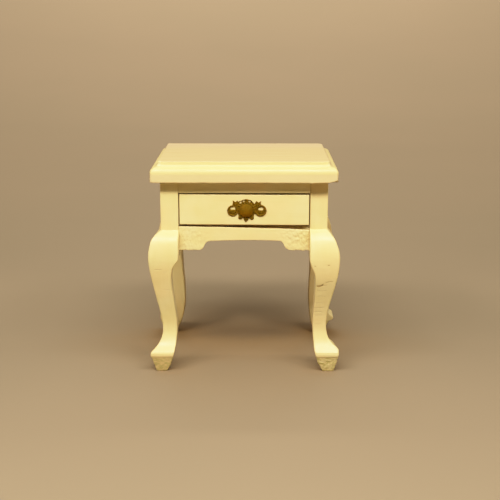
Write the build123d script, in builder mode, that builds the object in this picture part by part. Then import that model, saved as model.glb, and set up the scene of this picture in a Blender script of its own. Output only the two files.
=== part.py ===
from build123d import *
import math
import os

# Miniature side table in 1:12 scale, cream painted wood, one drawer, four
# cabriole legs.  Millimetres.  Z is up, the floor is Z = 0, the origin is the
# middle of the table on the floor, the drawer opens towards -Y.
# "side" is -1 for left (-X), 1 for right; "end" is -1 for front (-Y), 1 for back.

# ---- driving dimensions -------------------------------------------------
GLUE = 0.05             # clearance in a joint

TOP_W = 54.0            # top board over its lip, left to right
TOP_D = 41.0            # top board over its lip, front to back
TOP_Z0 = 57.1           # underside of the top board
LIP_Z = 59.4            # top of the lip's upright face
STEP_Z = 61.75          # foot of the little step round the raised field
TOP_Z = 63.0            # table top height
LIP_EASE = 0.2          # bevel under the lip
LIP_R = 0.6             # plan radius of the lip's corners
CORNER_REACH = 1.6      # edges this near a corner, both ways, are eased
MOULD_MID = (0.55, 60.75)   # middle of the moulding: in from the lip, height
MOULD_IN = 2.1          # inner edge of the moulding, in from the lip
FIELD_INSET = 1.95      # raised field, in from the lip
FIELD_R = 1.5           # plan radius of the raised field's corners
FIELD_EASE = 0.35       # rounding of the field's upper edge
FIELD_SINK = 0.5        # the field starts this far down inside the board

POST_X = 24.3           # outer face of the leg posts, from the centre
POST_Y = 17.8
POST = 5.2              # square section of the posts
INNER_X = POST_X - POST   # clear half width between posts
INNER_Y = POST_Y - POST   # clear half depth between posts
LEG_REACH = 40          # leg outlines are extruded this far each way

SET_BACK = 0.15         # rails and panels stand this far inside the post faces
RAIL_T = 2.4            # front rail and apron thickness
PANEL_T = 2.0           # side and back panel thickness
RAIL_Z0 = 53.65         # underside of the rail above the drawer
RAIL_EASE = 0.2         # rounding of the rail's lower front edge
APRON_Z1 = 43.65        # top edge of the apron under the drawer
APRON_EASE = 0.25       # rounding of the apron's upper front edge
APRON_Z0 = 36.85        # foot of the aprons' brackets
BRACKET_MID_Z = 38.1    # middle of a bracket's S-curve
ARCH_Z = 39.9           # crown of the aprons' cut-out
ARCH_END_Z = ARCH_Z - 0.35  # ends of the arch, where the S-curves meet it

TENON = 1.5             # stub tenon length
RAIL_TENON_T = 1.2      # tenon thickness, rail and apron
PANEL_TENON_T = 1.0     # tenon thickness, panels
RAIL_TENON_Z = (54.5, 56.5)     # tenons' lower and upper edges
APRON_TENON_Z = (38.1, 42.6)
PANEL_TENON_Z = (39.0, 55.9)

RUNNER_W = 2.4          # width of the runners and kickers
RUNNER_Z0 = 42.2
RUNNER_Z1 = 44.2
KICKER_Z0 = 53.3

DRAWER_W = 37.6         # drawer front
DRAWER_Z0 = RUNNER_Z1 + 0.05
DRAWER_Z1 = 53.15
FRONT_T = 2.2
FRONT_EASE = 0.2        # rounding round the drawer's face
REBATE = 1.0            # depth of the rebates behind the drawer front
REBATE_W = 1.7
REBATE_H = 12.0         # taller than the drawer front, so the rebates run through
SIDE_T = 1.5            # drawer sides and back
SIDE_X = 18.7           # outer face of the drawer sides
SIDE_INNER_X = SIDE_X - SIDE_T
SIDE_Z1 = 53.0
SIDE_Y1 = 15.35         # back end of the drawer
BACK_DROP = 0.3         # drawer back, below the top of the sides
GROOVE = 0.6            # groove depth
GROOVE_Z = (45.0, 46.0)
BOTTOM_GAP = 0.02       # drawer bottom's clearance in the groove, above and below
BOTTOM_SHORT = 0.1      # drawer bottom stops this far short of the back end

PULL_X = 0.6            # the pull sits a little right of centre
PULL_Z = 48.65
PULL_TILT = 1.8         # degrees, right end low

os.makedirs("parts", exist_ok=True)


def save(part, name):
    part.label = name
    export_step(part, f"parts/{name}.step")


def block(x, y, z, mode=Mode.ADD, clearance=0.0):
    """Box in the current part; x, y and z are each a (from, to) pair."""
    spans = (x, y, z)
    with Locations(tuple((start + stop) / 2 for start, stop in spans)):
        Box(*[abs(stop - start) + 2 * clearance for start, stop in spans], mode=mode)


# ---- table top ----------------------------------------------------------
# The lip and its ogee run all round and meet in mitres, so the board is the
# common part of two long mouldings, one across and one front to back.
def lip_section(half):
    mid_in, mid_z = MOULD_MID
    foot = half - LIP_EASE
    bevel_z = TOP_Z0 + LIP_EASE
    mould = half - MOULD_IN
    with BuildLine() as outline:
        Polyline((-foot, TOP_Z0), (foot, TOP_Z0), (half, bevel_z), (half, LIP_Z))
        Spline(
            (half, LIP_Z), (half - mid_in, mid_z), (mould, STEP_Z),
            tangents=((0, 1), (-1, 0.12)),
        )
        Line((mould, STEP_Z), (-mould, STEP_Z))
        Spline(
            (-mould, STEP_Z), (-half + mid_in, mid_z), (-half, LIP_Z),
            tangents=((-1, -0.12), (0, -1)),
        )
        Polyline((-half, LIP_Z), (-half, bevel_z), (-foot, TOP_Z0))
    return outline.line


def at_corner(edge):
    """True for the edges at the board's four corners, above its underside."""
    centre = edge.center()
    return (
        TOP_W / 2 - abs(centre.X) < CORNER_REACH
        and TOP_D / 2 - abs(centre.Y) < CORNER_REACH
        and centre.Z > TOP_Z0 + 0.01
    )


with BuildPart() as table_top:
    with BuildSketch(Plane.XZ):
        add(lip_section(TOP_W / 2))
        make_face()
    extrude(amount=TOP_D, both=True)
    with BuildSketch(Plane.YZ):
        add(lip_section(TOP_D / 2))
        make_face()
    extrude(amount=TOP_W, both=True, mode=Mode.INTERSECT)
    # the mitres and the lip's corners are eased by sanding
    fillet(table_top.edges().filter_by(at_corner), LIP_R)
    with BuildSketch(Plane.XY.offset(STEP_Z - FIELD_SINK)):
        RectangleRounded(TOP_W - 2 * FIELD_INSET, TOP_D - 2 * FIELD_INSET, FIELD_R)
    extrude(amount=TOP_Z - STEP_Z + FIELD_SINK)
    fillet(table_top.faces().sort_by(Axis.Z)[-1].edges(), FIELD_EASE)
save(table_top.part, "table_top")


# ---- tenons and mortises ------------------------------------------------
# Middle planes of the boards, as distances from the centre.
FRONT_MID = POST_Y - SET_BACK - RAIL_T / 2
BACK_MID = POST_Y - SET_BACK - PANEL_T / 2
SIDE_MID = POST_X - SET_BACK - PANEL_T / 2

# A mortise is its tenon's block, cut out with clearance all round.
MORTISE = {"mode": Mode.SUBTRACT, "clearance": GLUE}


def cross_tenon(side, mid_y, thickness, z, **how):
    """Tenon at the left or right end of a board that runs across the table."""
    x = (side * INNER_X, side * (INNER_X + TENON))
    block(x, (mid_y - thickness / 2, mid_y + thickness / 2), z, **how)


def front_tenon(side, z, **how):
    cross_tenon(side, -FRONT_MID, RAIL_TENON_T, z, **how)


def back_tenon(side, **how):
    cross_tenon(side, BACK_MID, PANEL_TENON_T, PANEL_TENON_Z, **how)


def side_tenon(side, end, **how):
    """Tenon at the front or back end of a side panel."""
    mid_x = side * SIDE_MID
    x = (mid_x - PANEL_TENON_T / 2, mid_x + PANEL_TENON_T / 2)
    block(x, (end * INNER_Y, end * (INNER_Y + TENON)), PANEL_TENON_Z, **how)


# ---- cabriole legs ------------------------------------------------------
# Each leg is sawn from square stock to the same outline on two faces.
# Points are (outwards from the post's outer face, height).
KNEE = [                # outer curve, from the post down to the foot
    (0.0, 43.3), (1.15, 42.1), (2.45, 40.25), (3.25, 38.1), (3.58, 35.4),
    (3.38, 32.0), (2.5, 26.8), (1.15, 20.9), (0.3, 15.9), (0.07, 13.3),
    (0.25, 11.4), (0.95, 9.6), (2.1, 8.1), (3.5, 6.75),
]
FOOT = [(3.74, 6.35), (3.78, 5.2), (3.5, 4.55), (2.2, 0.0)]    # toe, down to the floor
INSIDE = [              # inner curve, from the floor up to the post
    (-1.15, 0.0), (-2.42, 2.9), (-3.35, 6.0), (-3.93, 9.8), (-4.13, 13.5),
    (-3.98, 16.8), (-3.5, 23.0), (-3.24, 27.2), (-3.3, 29.6), (-3.75, 31.6),
    (-4.55, 33.2), (-5.2, 35.0),
]


def leg_section(sign, face):
    """Leg outline for a post whose outer face is at sign * face."""
    def placed(points):
        return [(sign * (face + out), z) for out, z in points]

    knee = placed(KNEE)
    inside = placed(INSIDE)
    top_inner, top_outer = placed([(-POST, TOP_Z0), (0, TOP_Z0)])
    with BuildLine() as outline:
        Line(top_inner, top_outer)
        Line(top_outer, knee[0])
        Spline(*knee, tangents=((sign * 0.85, -1.0), (sign * 1.0, -0.85)))
        Polyline(knee[-1], *placed(FOOT), inside[0])
        Spline(*inside, tangents=((sign * -0.5, 1.0), (0, 1.0)))
        Line(inside[-1], top_inner)
    return outline.line


def leg(side, end):
    with BuildPart() as post:
        with BuildSketch(Plane.XZ):
            add(leg_section(side, POST_X))
            make_face()
        extrude(amount=LEG_REACH, both=True)
        with BuildSketch(Plane.YZ):
            add(leg_section(end, POST_Y))
            make_face()
        extrude(amount=LEG_REACH, both=True, mode=Mode.INTERSECT)
        if end < 0:
            front_tenon(side, RAIL_TENON_Z, **MORTISE)
            front_tenon(side, APRON_TENON_Z, **MORTISE)
        else:
            back_tenon(side, **MORTISE)
        side_tenon(side, end, **MORTISE)
    return post.part


SIDES = (("left", -1), ("right", 1))
for side_name, side in SIDES:
    for end_name, end in (("front", -1), ("back", 1)):
        save(leg(side, end), f"{end_name}_{side_name}_leg")


# ---- rails, apron and panels --------------------------------------------
RAIL_Y = (-(POST_Y - SET_BACK), -(POST_Y - SET_BACK - RAIL_T))
BACK_Y = (POST_Y - SET_BACK - PANEL_T, POST_Y - SET_BACK)

with BuildPart() as front_top_rail:
    block((-INNER_X, INNER_X), RAIL_Y, (RAIL_Z0, TOP_Z0))
    lower_edges = front_top_rail.edges().filter_by(Axis.X).sort_by(Axis.Z)[:2]
    fillet(lower_edges.sort_by(Axis.Y)[0], RAIL_EASE)
    for side in (-1, 1):
        front_tenon(side, RAIL_TENON_Z)
save(front_top_rail.part, "front_top_rail")


def apron_outline(half, top, bracket, run):
    """Closed outline: straight top, bracketed foot with a shallow arch.
    bracket is where the flat of a bracket ends, run is the length of its S-curve."""
    inner = bracket - run
    middle = bracket - run * 0.5
    with BuildLine() as outline:
        Polyline(
            (-bracket, APRON_Z0), (-half, APRON_Z0), (-half, top),
            (half, top), (half, APRON_Z0), (bracket, APRON_Z0),
        )
        Spline(
            (bracket, APRON_Z0), (middle, BRACKET_MID_Z), (inner, ARCH_END_Z),
            tangents=((-1, 0.03), (-1, 0.1)),
        )
        ThreePointArc((inner, ARCH_END_Z), (0, ARCH_Z), (-inner, ARCH_END_Z))
        Spline(
            (-inner, ARCH_END_Z), (-middle, BRACKET_MID_Z), (-bracket, APRON_Z0),
            tangents=((-1, -0.1), (-1, -0.03)),
        )
    return outline.line


with BuildPart() as front_apron:
    with BuildSketch(Plane.XZ.offset(POST_Y - SET_BACK)):
        add(apron_outline(half=INNER_X, top=APRON_Z1, bracket=13.3, run=3.1))
        make_face()
    extrude(amount=-RAIL_T)
    upper_edges = front_apron.edges().filter_by(Axis.X).sort_by(Axis.Z)[-2:]
    fillet(upper_edges.sort_by(Axis.Y)[0], APRON_EASE)
    for side in (-1, 1):
        front_tenon(side, APRON_TENON_Z)
save(front_apron.part, "front_apron")


def side_panel(side):
    with BuildPart() as panel:
        with BuildSketch(Plane.YZ.offset(side * (POST_X - SET_BACK))):
            add(apron_outline(half=INNER_Y, top=TOP_Z0, bracket=8.6, run=2.9))
            make_face()
        extrude(amount=-side * PANEL_T)
        for end in (-1, 1):
            side_tenon(side, end)
    return panel.part


for side_name, side in SIDES:
    save(side_panel(side), f"{side_name}_side_panel")

with BuildPart() as back_panel:
    block((-INNER_X, INNER_X), BACK_Y, (APRON_Z0, TOP_Z0))
    for side in (-1, 1):
        back_tenon(side)
save(back_panel.part, "back_panel")


# ---- strips that carry the drawer ---------------------------------------
def strip(side, z):
    """Strip between a side's posts, from the front rail to the back panel."""
    with BuildPart() as bar:
        block((side * (INNER_X - RUNNER_W), side * INNER_X), (RAIL_Y[1], BACK_Y[0]), z)
    return bar.part


for side_name, side in SIDES:
    save(strip(side, (RUNNER_Z0, RUNNER_Z1)), f"{side_name}_drawer_runner")
    save(strip(side, (KICKER_Z0, TOP_Z0)), f"{side_name}_kicker_strip")

# ---- drawer -------------------------------------------------------------
PULL_ANGLE = math.radians(PULL_TILT)
PULL_PLANE = Plane(     # on the drawer's face, looking out
    origin=(PULL_X, -POST_Y, PULL_Z),
    x_dir=(math.cos(PULL_ANGLE), 0, -math.sin(PULL_ANGLE)),
    z_dir=(0, -1, 0),
)
PIN_R = 0.5             # radius of the pull's pin hole

FRONT_Y1 = -POST_Y + FRONT_T            # back of the drawer front
REBATE_X = SIDE_INNER_X - GLUE          # inner edge of the rebates
DRAWER_MID_Z = (DRAWER_Z0 + DRAWER_Z1) / 2
REBATE_Z = (DRAWER_MID_Z - REBATE_H / 2, DRAWER_MID_Z + REBATE_H / 2)

with BuildPart() as drawer_front:
    block((-DRAWER_W / 2, DRAWER_W / 2), (-POST_Y, FRONT_Y1), (DRAWER_Z0, DRAWER_Z1))
    fillet(drawer_front.faces().sort_by(Axis.Y)[0].edges(), FRONT_EASE)
    # rebates for the drawer sides and a groove for the bottom
    for side in (-1, 1):
        rebate_x = (side * REBATE_X, side * (REBATE_X + REBATE_W))
        block(rebate_x, (FRONT_Y1 - REBATE, FRONT_Y1), REBATE_Z, mode=Mode.SUBTRACT)
    block((-REBATE_X, REBATE_X), (FRONT_Y1 - GROOVE, FRONT_Y1), GROOVE_Z, mode=Mode.SUBTRACT)
    with Locations(PULL_PLANE):
        Hole(PIN_R)
save(drawer_front.part, "drawer_front")


def drawer_side(side):
    y = (FRONT_Y1 - REBATE, SIDE_Y1)
    inner = side * SIDE_INNER_X
    with BuildPart() as board:
        block((inner, side * SIDE_X), y, (DRAWER_Z0, SIDE_Z1))
        block((inner, side * (SIDE_INNER_X + GROOVE)), y, GROOVE_Z, mode=Mode.SUBTRACT)
    return board.part


for side_name, side in SIDES:
    save(drawer_side(side), f"drawer_{side_name}_side")

with BuildPart() as drawer_back:
    block(
        (-SIDE_INNER_X, SIDE_INNER_X),
        (SIDE_Y1 - SIDE_T, SIDE_Y1),
        (GROOVE_Z[1], SIDE_Z1 - BACK_DROP),
    )
save(drawer_back.part, "drawer_back")

BOTTOM_X = SIDE_INNER_X + GROOVE - GLUE
with BuildPart() as drawer_bottom:
    block(
        (-BOTTOM_X, BOTTOM_X),
        (FRONT_Y1 - GROOVE + GLUE, SIDE_Y1 - BOTTOM_SHORT),
        (GROOVE_Z[0] + BOTTOM_GAP, GROOVE_Z[1] - BOTTOM_GAP),
    )
save(drawer_bottom.part, "drawer_bottom")

# ---- brass pull: plate --------------------------------------------------
# A pierced stamped plate: a fan over a scalloped apron in the middle, a round
# pierced eye at each end and a small two-pointed crest above each eye.
PLATE_T = 0.4
FAN_R = 2.58
FAN_Y = 0.78            # fan centre, above the pin
EYE_X = 3.98
EYE_Y = -0.05
EYE_R = 1.6
PIERCE_HALF = 0.75      # half width of the half-round piercing in an eye
PIERCE_Y = (0.2, 1.05)  # its flat foot and its crown
DOT_R = 0.2             # round piercings near the fan's rim
DOT_RING_R = 2.22
DOT_ANGLES = (55, 79, 101, 125)

# Closed outlines in the pull's plane, (right, up) from the pin.
SCALLOPS = [            # apron under the fan
    (-2.45, 0.6), (-2.25, -1.2), (-2.0, -1.9), (-1.85, -2.55), (-1.55, -2.6),
    (-1.2, -2.2), (-0.7, -2.4), (-0.3, -2.85), (0, -3.25), (0.3, -2.85),
    (0.7, -2.4), (1.2, -2.2), (1.55, -2.6), (1.85, -2.55), (2.0, -1.9),
    (2.25, -1.2), (2.45, 0.6),
]
CREST = [               # right-hand crest
    (2.0, 0.4), (2.25, 1.9), (2.66, 3.0), (3.28, 2.6), (4.0, 3.05), (4.15, 1.4), (3.9, 0.4),
]
BRIDGE = [(1.8, 1.2), (3.4, 1.0), (3.4, -1.2), (1.8, -1.0)]    # joins fan and right eye

with BuildPart() as pull_plate:
    with BuildSketch(PULL_PLANE):
        with Locations((0, FAN_Y)):
            Circle(FAN_R)
        with BuildLine():
            Polyline(*SCALLOPS, close=True)
        make_face()
        for side in (-1, 1):
            with Locations((side * EYE_X, EYE_Y)):
                Circle(EYE_R)
            for shape in (CREST, BRIDGE):
                with BuildLine():
                    Polyline(*[(side * x, y) for x, y in shape], close=True)
                make_face()
        # half-round piercings in the eyes
        for side in (-1, 1):
            foot_y, crown_y = PIERCE_Y
            pierce_left = (side * EYE_X - PIERCE_HALF, foot_y)
            pierce_right = (side * EYE_X + PIERCE_HALF, foot_y)
            with BuildLine():
                Line(pierce_left, pierce_right)
                ThreePointArc(pierce_right, (side * EYE_X, crown_y), pierce_left)
            make_face(mode=Mode.SUBTRACT)
        for angle in map(math.radians, DOT_ANGLES):
            dot_x = DOT_RING_R * math.cos(angle)
            dot_y = FAN_Y + DOT_RING_R * math.sin(angle)
            with Locations((dot_x, dot_y)):
                Circle(DOT_R, mode=Mode.SUBTRACT)
        Circle(PIN_R + 0.05, mode=Mode.SUBTRACT)
    extrude(amount=PLATE_T)
save(pull_plate.part, "pull_plate")

# ---- brass pull: knob ---------------------------------------------------
# A low polished dome with a pin that passes through the plate into the drawer
# front.  The half section is (radius, distance out from the drawer's face).
KNOB_R = 1.95
KNOB_EASE = (0.15, 0.12)    # bevel under the rim: inwards, outwards from the plate
SHAFT_R = PIN_R - 0.02  # the pin itself, an easy fit in its hole
PIN_EASE = 0.12         # bevel at the pin's tip
PIN_L = 1.9             # pin length behind the drawer's face
DOME_H = 1.3            # dome height over the plate
DOME_RIM = 0.3          # height of the dome's upright rim

# height of the dome's centre over the plate, and its radius
dome_centre = ((DOME_H ** 2 - DOME_RIM ** 2) - KNOB_R ** 2) / (2 * (DOME_H - DOME_RIM))
dome_r = DOME_H - dome_centre
mid_x = KNOB_R * 0.6    # a point part way up the dome
mid_y = PLATE_T + dome_centre + math.sqrt(dome_r ** 2 - mid_x ** 2)
rim = (KNOB_R, PLATE_T + DOME_RIM)
crown = (0, PLATE_T + DOME_H)
pin_tip = (0, -PIN_L)

KNOB_PLANE = Plane(
    origin=PULL_PLANE.origin, x_dir=PULL_PLANE.x_dir, z_dir=-PULL_PLANE.y_dir
)
with BuildLine() as knob_outline:
    Polyline(
        pin_tip, (SHAFT_R - PIN_EASE, -PIN_L), (SHAFT_R, -PIN_L + PIN_EASE),
        (SHAFT_R, PLATE_T), (KNOB_R - KNOB_EASE[0], PLATE_T),
        (KNOB_R, PLATE_T + KNOB_EASE[1]), rim,
    )
    ThreePointArc(rim, (mid_x, mid_y), crown)
    Line(crown, pin_tip)
with BuildPart() as pull_knob:
    with BuildSketch(KNOB_PLANE):
        add(knob_outline.line)
        make_face()
    revolve(axis=Axis(PULL_PLANE.origin, PULL_PLANE.z_dir))
save(pull_knob.part, "pull_knob")
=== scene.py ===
"""A 1:12 cream-painted side table: moulded top, four carved legs, an apron cut in a scroll
and one drawer with a brass pull.

It stands on z = 0 and is centred on the z axis, with its front towards -y and its right
towards +x.  Shapes are worked out in millimetres and written to the meshes in metres.
"""
import math
from itertools import product

import bmesh
import bpy
import numpy as np
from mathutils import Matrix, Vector


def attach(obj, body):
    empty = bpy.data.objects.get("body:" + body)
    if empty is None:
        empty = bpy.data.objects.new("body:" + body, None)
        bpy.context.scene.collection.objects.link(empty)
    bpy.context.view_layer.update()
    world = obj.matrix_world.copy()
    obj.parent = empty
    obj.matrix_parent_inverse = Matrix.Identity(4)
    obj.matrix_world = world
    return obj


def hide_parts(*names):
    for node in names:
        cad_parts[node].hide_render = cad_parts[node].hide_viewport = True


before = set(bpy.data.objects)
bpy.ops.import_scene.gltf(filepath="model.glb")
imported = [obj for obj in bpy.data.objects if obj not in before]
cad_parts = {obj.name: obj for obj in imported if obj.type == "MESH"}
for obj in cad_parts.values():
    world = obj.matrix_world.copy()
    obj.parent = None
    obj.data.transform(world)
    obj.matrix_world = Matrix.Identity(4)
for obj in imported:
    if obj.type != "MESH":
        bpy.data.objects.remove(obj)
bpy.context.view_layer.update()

MM = 0.001

# Driving dimensions, mm.
TOP_W, TOP_D, TOP_Z0, TOP_Z = 54.0, 41.0, 57.1, 63.0
POST_X, POST_Y, POST = 24.3, 17.8, 5.2        # outer faces of the posts, and their width
SET_BACK, RAIL_T, PANEL_T = 0.15, 2.4, 2.0    # boards lie this far behind the post faces
TENON, GLUE, PANEL_TENON_T = 1.5, 0.05, 1.0
TOP_TENON, APRON_TENON, PANEL_TENON = (54.5, 56.5), (38.1, 42.6), (39.0, 55.9)    # in z
INNER_X, INNER_Y = POST_X - POST, POST_Y - POST
FRONT_MID = POST_Y - SET_BACK - RAIL_T / 2
SIDE_MID = POST_X - SET_BACK - PANEL_T / 2
BACK_MID = POST_Y - SET_BACK - PANEL_T / 2


# ---------------------------------------------------------------- noise ----
GRADIENTS = np.array([
    (1, 1, 0), (-1, 1, 0), (1, -1, 0), (-1, -1, 0), (1, 0, 1), (-1, 0, 1), (1, 0, -1),
    (-1, 0, -1), (0, 1, 1), (0, -1, 1), (0, 1, -1), (0, -1, -1), (1, 1, 0), (-1, 1, 0),
    (0, -1, 1), (0, -1, -1)], float)
HASH_PRIMES = np.array((73856093, 19349663, 83492791), np.int64)


def noise(points, seed):
    """Gradient noise, about -1 to 1, at each row of points."""
    points = np.asarray(points, float)
    cell = np.floor(points).astype(np.int64)
    local = points - cell
    fade = local * local * local * (local * (local * 6 - 15) + 10)
    total = np.zeros(len(points))
    for corner in product((0, 1), repeat=3):
        code = np.bitwise_xor.reduce((cell + corner) * HASH_PRIMES, axis=1)
        code = (code ^ (seed * 668265263 + 374761393)) & 0xFFFFFFFF
        code = ((code ^ (code >> 15)) * 2246822519) & 0xFFFFFFFF
        code = ((code ^ (code >> 13)) * 3266489917) & 0xFFFFFFFF
        code ^= code >> 16
        slope = ((local - corner) * GRADIENTS[code & 15]).sum(1)
        total += np.where(corner, fade, 1 - fade).prod(1) * slope
    return total


def fbm(points, size, octaves, seed, stretch=(1, 1, 1)):
    """Layered noise whose largest feature is about size mm; stretch lengthens it on an axis."""
    scaled = np.asarray(points, float) / (size * np.array(stretch, float))
    total = np.zeros(len(scaled))
    for i in range(octaves):
        total += 0.5 ** i * noise(scaled * 2 ** i + 17.3 * (i + 1), seed + 31 * i)
    return total


def smooth(start, end, value):
    """A smooth step from 0 at start to 1 at end."""
    part = np.clip((np.asarray(value, float) - start) / (end - start), 0, 1)
    return part * part * (3 - 2 * part)


# ------------------------------------------------------ outlines and lofts --
def spline(points, start, end, steps):
    """A smooth curve through points that leaves along start and arrives along end."""
    points = np.array(points, float)
    chords = np.linalg.norm(np.diff(points, axis=0), axis=1)
    count = len(points)
    matrix, right = np.eye(count), np.zeros((count, 2))
    for i in range(1, count - 1):
        before, after = chords[i - 1], chords[i]
        matrix[i, i - 1:i + 2] = after, 2 * (before + after), before
        right[i] = 3 * (before * (points[i + 1] - points[i]) / after
                        + after * (points[i] - points[i - 1]) / before)
    for row, way in ((0, start), (-1, end)):
        right[row] = np.array(way, float) / np.linalg.norm(way)
    slopes = np.linalg.solve(matrix, right)
    t = np.linspace(0, 1, steps, endpoint=False)[:, None]
    curve = []
    for i in range(count - 1):
        curve.append((2 * t ** 3 - 3 * t ** 2 + 1) * points[i]
                     + (t ** 3 - 2 * t ** 2 + t) * chords[i] * slopes[i]
                     + (-2 * t ** 3 + 3 * t ** 2) * points[i + 1]
                     + (t ** 3 - t ** 2) * chords[i] * slopes[i + 1])
    return np.vstack(curve + [points[-1:]])


class Loft:
    """Rings of equal length skinned one to the next, each end filled with a grid.

    A ring has across and up points on its straight sides and arc on each half corner."""

    def __init__(self, across, up, arc=3):
        self.across, self.up, self.arc = across, up, arc
        self.verts, self.faces, self.rings = [], [], []

    def loop(self, left, right, low, high, radii):
        """A rounded rectangle, from half way round the (left, low) corner towards right.
        radii is one number, or one for each corner in that order."""
        limit = min(right - left, high - low) * 0.499
        radii = np.minimum(np.full(4, radii, float), limit)
        corners = [(left + radii[0], low + radii[0], radii[0], 225),
                   (right - radii[1], low + radii[1], radii[1], 315),
                   (right - radii[2], high - radii[2], radii[2], 45),
                   (left + radii[3], high - radii[3], radii[3], 135)]

        def on_corner(corner, turn):
            x, y, radius, heading = corner
            angle = math.radians(heading + turn)
            return np.array((x + radius * math.cos(angle), y + radius * math.sin(angle)))

        points = []
        for i in range(4):
            here, there = corners[i], corners[(i + 1) % 4]
            start, end = on_corner(here, 45), on_corner(there, -45)
            count = self.up if i % 2 else self.across
            points += [on_corner(here, 45 * j / self.arc) for j in range(self.arc)]
            points += [start + (end - start) * j / count for j in range(count)]
            points += [on_corner(there, 45 * j / self.arc - 45) for j in range(self.arc)]
        return np.array(points)

    def ring(self, *columns):
        """Adds a ring from its x, y and z; a single number is shared by every point."""
        points = np.column_stack(np.broadcast_arrays(*columns))
        ids = np.arange(len(self.verts), len(self.verts) + len(points))
        self.verts.extend(points)
        if self.rings:
            last = self.rings[-1]
            self.faces.extend(zip(last, np.roll(last, -1), np.roll(ids, -1), ids))
        self.rings.append(ids)

    def cap(self, ids):
        """Fills a ring with a grid whose inner points blend its four sides."""
        cols, rows = self.across + 2 * self.arc, self.up + 2 * self.arc
        grid = np.zeros((cols + 1, rows + 1), int)
        grid[:, 0] = ids[:cols + 1]
        grid[cols, :] = ids[cols:cols + rows + 1]
        grid[:, rows] = ids[cols + rows:2 * cols + rows + 1][::-1]
        grid[0, :] = np.append(ids[2 * cols + rows:], ids[0])[::-1]
        points = np.array(self.verts)
        low, high = points[grid[:, 0]], points[grid[:, rows]]
        left, right = points[grid[0]], points[grid[cols]]
        for i, j in product(range(1, cols), range(1, rows)):
            x, y = i / cols, j / rows
            grid[i, j] = len(self.verts)
            self.verts.append(
                (1 - y) * low[i] + y * high[i] + (1 - x) * left[j] + x * right[j]
                - (1 - x) * (1 - y) * low[0] - x * (1 - y) * low[cols]
                - x * y * high[cols] - (1 - x) * y * high[0])
        for i, j in product(range(cols), range(rows)):
            self.faces.append((grid[i, j], grid[i + 1, j], grid[i + 1, j + 1], grid[i, j + 1]))

    def closed(self):
        self.cap(self.rings[0])
        self.cap(self.rings[-1])
        return self.verts, self.faces


LATHE_SEGMENTS = 96


def lathe(profile, place):
    """Turns (radius, height) points about an axis; place(x, y, height) sets each vertex."""
    verts, faces, last = [], [], ()
    for radius, height in profile:
        count = LATHE_SEGMENTS if radius > 1e-9 else 1
        ring = range(len(verts), len(verts) + count)
        for j in ring:
            turn = 2 * math.pi * (j - ring[0]) / LATHE_SEGMENTS
            verts.append(place(radius * math.cos(turn), radius * math.sin(turn), height))
        for j in range(LATHE_SEGMENTS if last else 0):
            k = (j + 1) % LATHE_SEGMENTS
            if len(last) == 1:
                faces.append((last[0], ring[k], ring[j]))
            elif len(ring) == 1:
                faces.append((last[j], last[k], ring[0]))
            else:
                faces.append((last[j], last[k], ring[k], ring[j]))
        last = ring
    return verts, faces


# --------------------------------------------------------------- meshes ----
def wear(ob, material):
    ob.data.materials.clear()
    ob.data.materials.append(material)


def finish_shading(mesh, sharp=38):
    """Smooth faces, with edges sharper than this many degrees kept crisp."""
    bm = bmesh.new()
    bm.from_mesh(mesh)
    for face in bm.faces:
        face.smooth = True
    limit = math.radians(sharp)
    for edge in bm.edges:
        edge.smooth = len(edge.link_faces) == 2 and edge.calc_face_angle(0) < limit
    bm.to_mesh(mesh)
    bm.free()


def make(name, verts, faces, body, slot, node, material, shape=None, sharp=38):
    """A closed mesh in place of a CAD node; shape(points, normals) may move its points."""
    mesh = bpy.data.meshes.new(name)
    mesh.from_pydata([tuple(vert) for vert in np.asarray(verts) * MM], [],
                     [tuple(int(i) for i in face) for face in faces])
    bm = bmesh.new()
    bm.from_mesh(mesh)
    bmesh.ops.remove_doubles(bm, verts=bm.verts, dist=1e-8)
    bmesh.ops.recalc_face_normals(bm, faces=bm.faces)
    bm.normal_update()
    if shape is not None:
        points = np.array([vert.co for vert in bm.verts]) / MM
        normals = np.array([vert.normal for vert in bm.verts])
        for vert, place in zip(bm.verts, shape(points, normals) * MM):
            vert.co = place
        bm.normal_update()
    bm.to_mesh(mesh)
    bm.free()
    finish_shading(mesh, sharp)
    ob = bpy.data.objects.new(name, mesh)
    bpy.context.scene.collection.objects.link(ob)
    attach(ob, body)
    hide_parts(node)
    wear(ob, material)
    return ob


def box_object(spans):
    mesh = bpy.data.meshes.new("cutter")
    verts = [(x * MM, y * MM, z * MM) for x, y, z in product(*spans)]
    mesh.from_pydata(verts, [], [(0, 1, 3, 2), (4, 6, 7, 5), (0, 4, 5, 1),
                                 (2, 3, 7, 6), (0, 2, 6, 4), (1, 5, 7, 3)])
    return bpy.data.objects.new("cutter", mesh)


def join_boxes(ob, boxes, operation):
    """Cuts boxes from a piece, or adds them, as solids.  A box is its x, y and z spans."""
    for box in boxes:
        tool = box_object(box)
        bpy.context.scene.collection.objects.link(tool)
        mod = ob.modifiers.new("bool", "BOOLEAN")
        mod.operation, mod.object, mod.solver = operation, tool, "EXACT"
        depsgraph = bpy.context.evaluated_depsgraph_get()
        mesh = bpy.data.meshes.new_from_object(ob.evaluated_get(depsgraph))
        ob.modifiers.clear()
        old = ob.data
        ob.data = mesh
        mesh.name = ob.name
        bpy.data.meshes.remove(old)
        bpy.data.objects.remove(tool)
    finish_shading(ob.data)


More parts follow.
